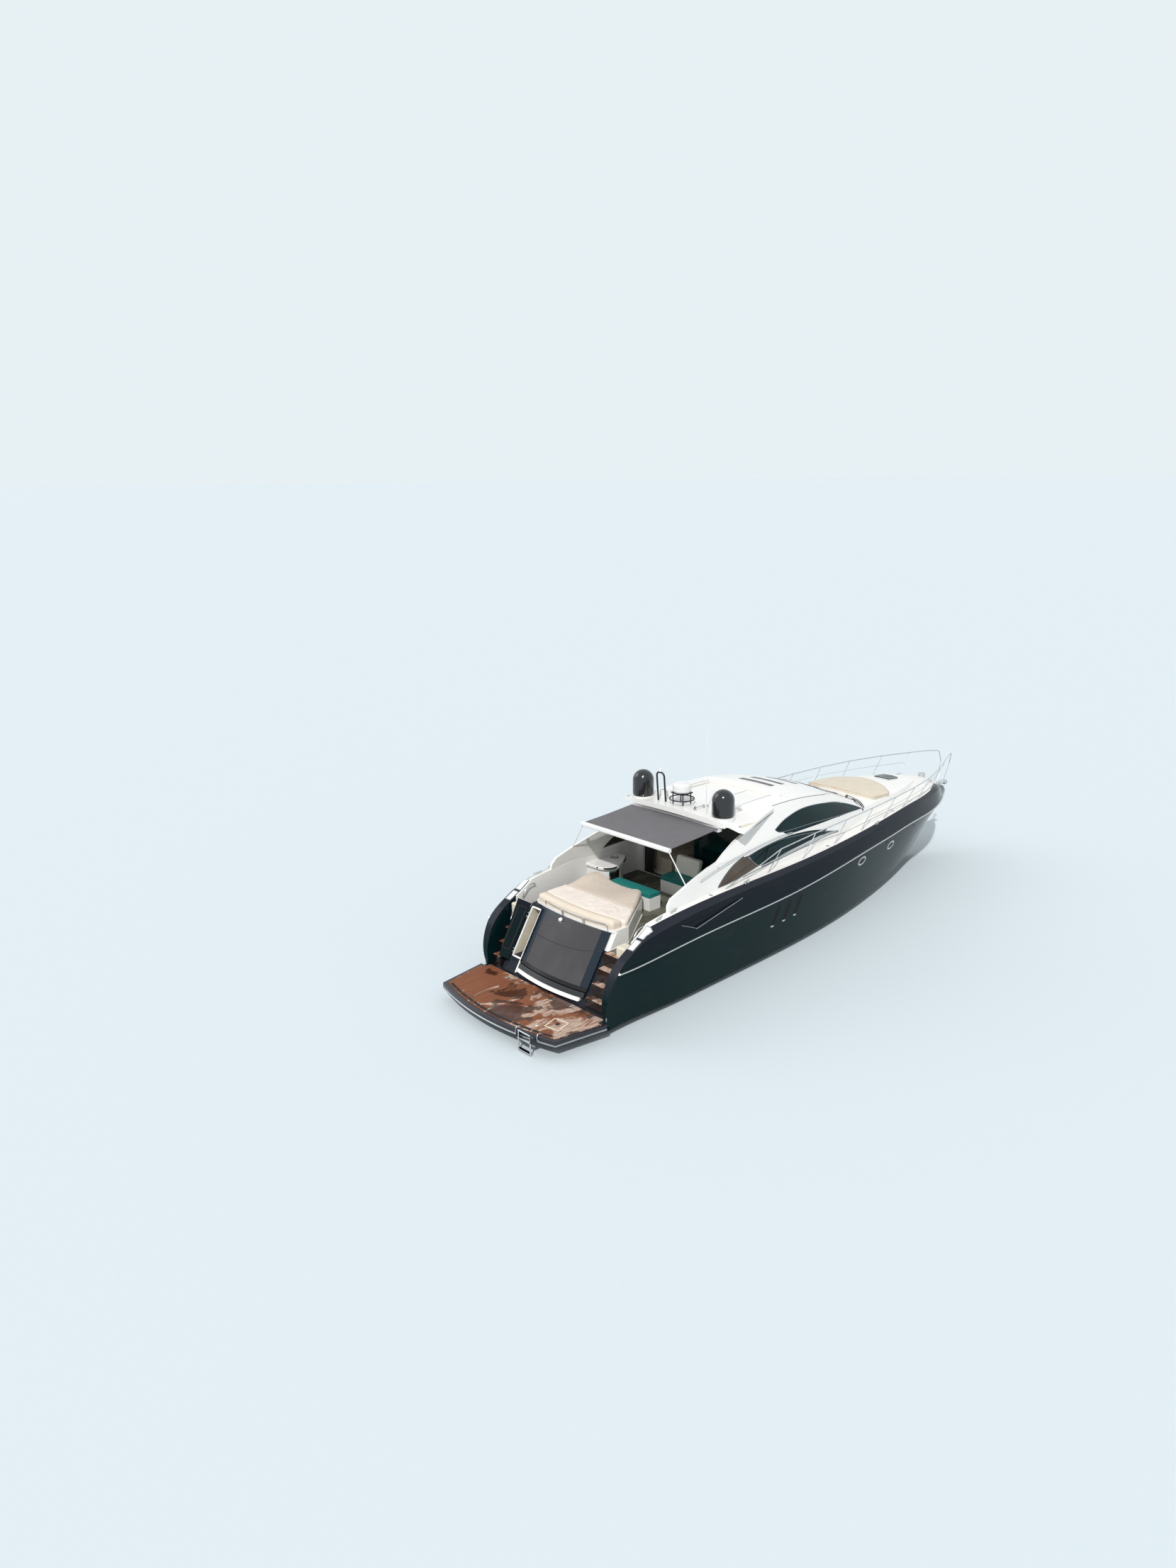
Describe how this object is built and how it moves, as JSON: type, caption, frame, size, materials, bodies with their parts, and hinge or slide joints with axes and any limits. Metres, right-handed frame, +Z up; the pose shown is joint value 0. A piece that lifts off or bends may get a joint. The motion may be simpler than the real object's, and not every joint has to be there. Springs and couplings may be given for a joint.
{
  "type": "hardtop motor yacht",
  "caption": "Motor yacht afloat: dark planing hull, white superstructure with hardtop, open cockpit with sunpad, awning and swim platform.",
  "frame": {"origin": "on the centreline and the waterline, amidships", "axes": "+X to the bow, +Y to port, +Z up"},
  "size_m": [20.228, 4.7806, 7.5801],
  "materials": {
    "hull_gelcoat": "glossy near-black gelcoat",
    "white_gelcoat": "glossy warm white gelcoat",
    "charcoal_gelcoat": "satin charcoal gelcoat",
    "teak": "weathered teak planks",
    "dark_glass": "dark tinted glass",
    "smoked_glass": "brown smoked glass",
    "stainless": "polished stainless steel",
    "bronze": "bronze, worn",
    "antifouling": "matt underwater paint",
    "linen": "wrinkled cream linen",
    "pad_vinyl": "beige marine vinyl",
    "teal_vinyl": "teal marine vinyl",
    "awning_cloth": "grey acrylic awning cloth",
    "black_gloss": "glossy black",
    "white_plastic": "white plastic",
    "engine_paint": "grey engine paint",
    "dark_trim": "black satin trim"
  },
  "bodies": {
    "yacht": {"hatch_hinges": "stainless", "hull": "hull_gelcoat", "deck": "white_gelcoat", "superstructure": "white_gelcoat", "cockpit_liner": "white_gelcoat", "stern_steps": "black_gloss", "transom_locker": "hull_gelcoat", "swim_platform": "charcoal_gelcoat", "platform_teak": "teak", "rub_rails": "stainless", "windscreen": "dark_glass", "upper_windows": "dark_glass", "lower_windows": "dark_glass", "quarter_glass": "smoked_glass", "saloon_bulkhead": "dark_trim", "saloon_glass": "dark_glass", "roof_winglets": "white_gelcoat", "awning_fabric": "awning_cloth", "awning_frame": "white_plastic", "satcom_domes": "black_gloss", "radar_stand": "dark_trim", "radome": "white_plastic", "roof_fittings": "white_plastic", "bow_rail_port": "stainless", "bow_rail_starboard": "stainless", "rail_stanchions": "stainless", "deck_hatch_hinges": "stainless", "anchor_gear": "stainless", "foredeck_sunpad": "pad_vinyl", "wet_bar": "white_gelcoat", "cockpit_settee": "white_gelcoat", "settee_cushions": "teal_vinyl", "settee_backs": "pad_vinyl", "helm_console": "dark_trim", "helm_seats": "pad_vinyl", "saloon_sofa": "pad_vinyl", "engines": "engine_paint", "shaft_brackets": "bronze"},
    "garage_lid": {"transom_panel": "charcoal_gelcoat", "sunpad_base": "white_gelcoat", "cockpit_sunpad": "linen", "transom_rails": "stainless"},
    "crew_hatch": {"crew_hatch": "hull_gelcoat"},
    "swim_ladder": {"swim_ladder": "stainless"},
    "saloon_door": {"saloon_door": "dark_glass"},
    "sunroof_panel": {"sunroof_panel": "white_gelcoat"},
    "deck_hatch": {"deck_hatch": "dark_glass"},
    "helm_wheel": {"helm_wheel": "dark_trim"},
    "propeller_port": {"propeller_port": "bronze"},
    "propeller_starboard": {"propeller_starboard": "bronze"},
    "rudder_port": {"rudder_port": "antifouling"},
    "rudder_starboard": {"rudder_starboard": "antifouling"}
  },
  "joints": [
    {"name": "propeller_port_spin", "type": "hinge", "parent": "yacht", "child": "propeller_port", "pos_m": [-7.25, 0.78, -0.87], "axis": [0.9877, 0, 0.1564], "continuous": true},
    {"name": "propeller_starboard_spin", "type": "hinge", "parent": "yacht", "child": "propeller_starboard", "pos_m": [-7.25, -0.78, -0.87], "axis": [0.9877, 0, 0.1564], "continuous": true},
    {"name": "rudder_starboard_turn", "type": "hinge", "parent": "yacht", "child": "rudder_starboard", "pos_m": [-8.01, -0.78, -0.6], "axis": [0, 0, 1], "range_deg": [-35, 35]},
    {"name": "rudder_port_turn", "type": "hinge", "parent": "yacht", "child": "rudder_port", "pos_m": [-8.01, 0.78, -0.6], "axis": [0, 0, 1], "range_deg": [-35, 35]},
    {"name": "helm_wheel_turn", "type": "hinge", "parent": "yacht", "child": "helm_wheel", "pos_m": [0.4, -0.9, 2.33], "axis": [-0.8762, 0, 0.4819], "range_deg": [-560, 560]},
    {"name": "garage_lid_lift", "type": "hinge", "parent": "yacht", "child": "garage_lid", "pos_m": [-5.29, 0, 1.95], "axis": [0, 1, 0], "range_deg": [0, 38]},
    {"name": "crew_hatch_swing", "type": "hinge", "parent": "yacht", "child": "crew_hatch", "pos_m": [-8.05519, 1.6, 0.89185], "axis": [0.5309, 0, 0.8474], "range_deg": [0, 115]},
    {"name": "swim_ladder_fold", "type": "hinge", "parent": "yacht", "child": "swim_ladder", "pos_m": [-10.17, -1.35, 0.5], "axis": [0, 1, 0], "range_deg": [0, 268]},
    {"name": "saloon_door_slide", "type": "slide", "parent": "yacht", "child": "saloon_door", "axis": [0, 1, 0], "range_m": [0, 1.49]},
    {"name": "sunroof_slide", "type": "slide", "parent": "yacht", "child": "sunroof_panel", "axis": [-1, 0, 0], "range_m": [0, 0.85]},
    {"name": "deck_hatch_lift", "type": "hinge", "parent": "yacht", "child": "deck_hatch", "pos_m": [6.432, 0, 2.90287], "axis": [0, 1, 0], "range_deg": [0, 70]}
  ],
  "couplings": [
    {"joint": "rudder_port_turn", "follows": "rudder_starboard_turn", "ratio": 1},
    {"joint": "helm_wheel_turn", "follows": "rudder_starboard_turn", "ratio": -16}
  ]
}
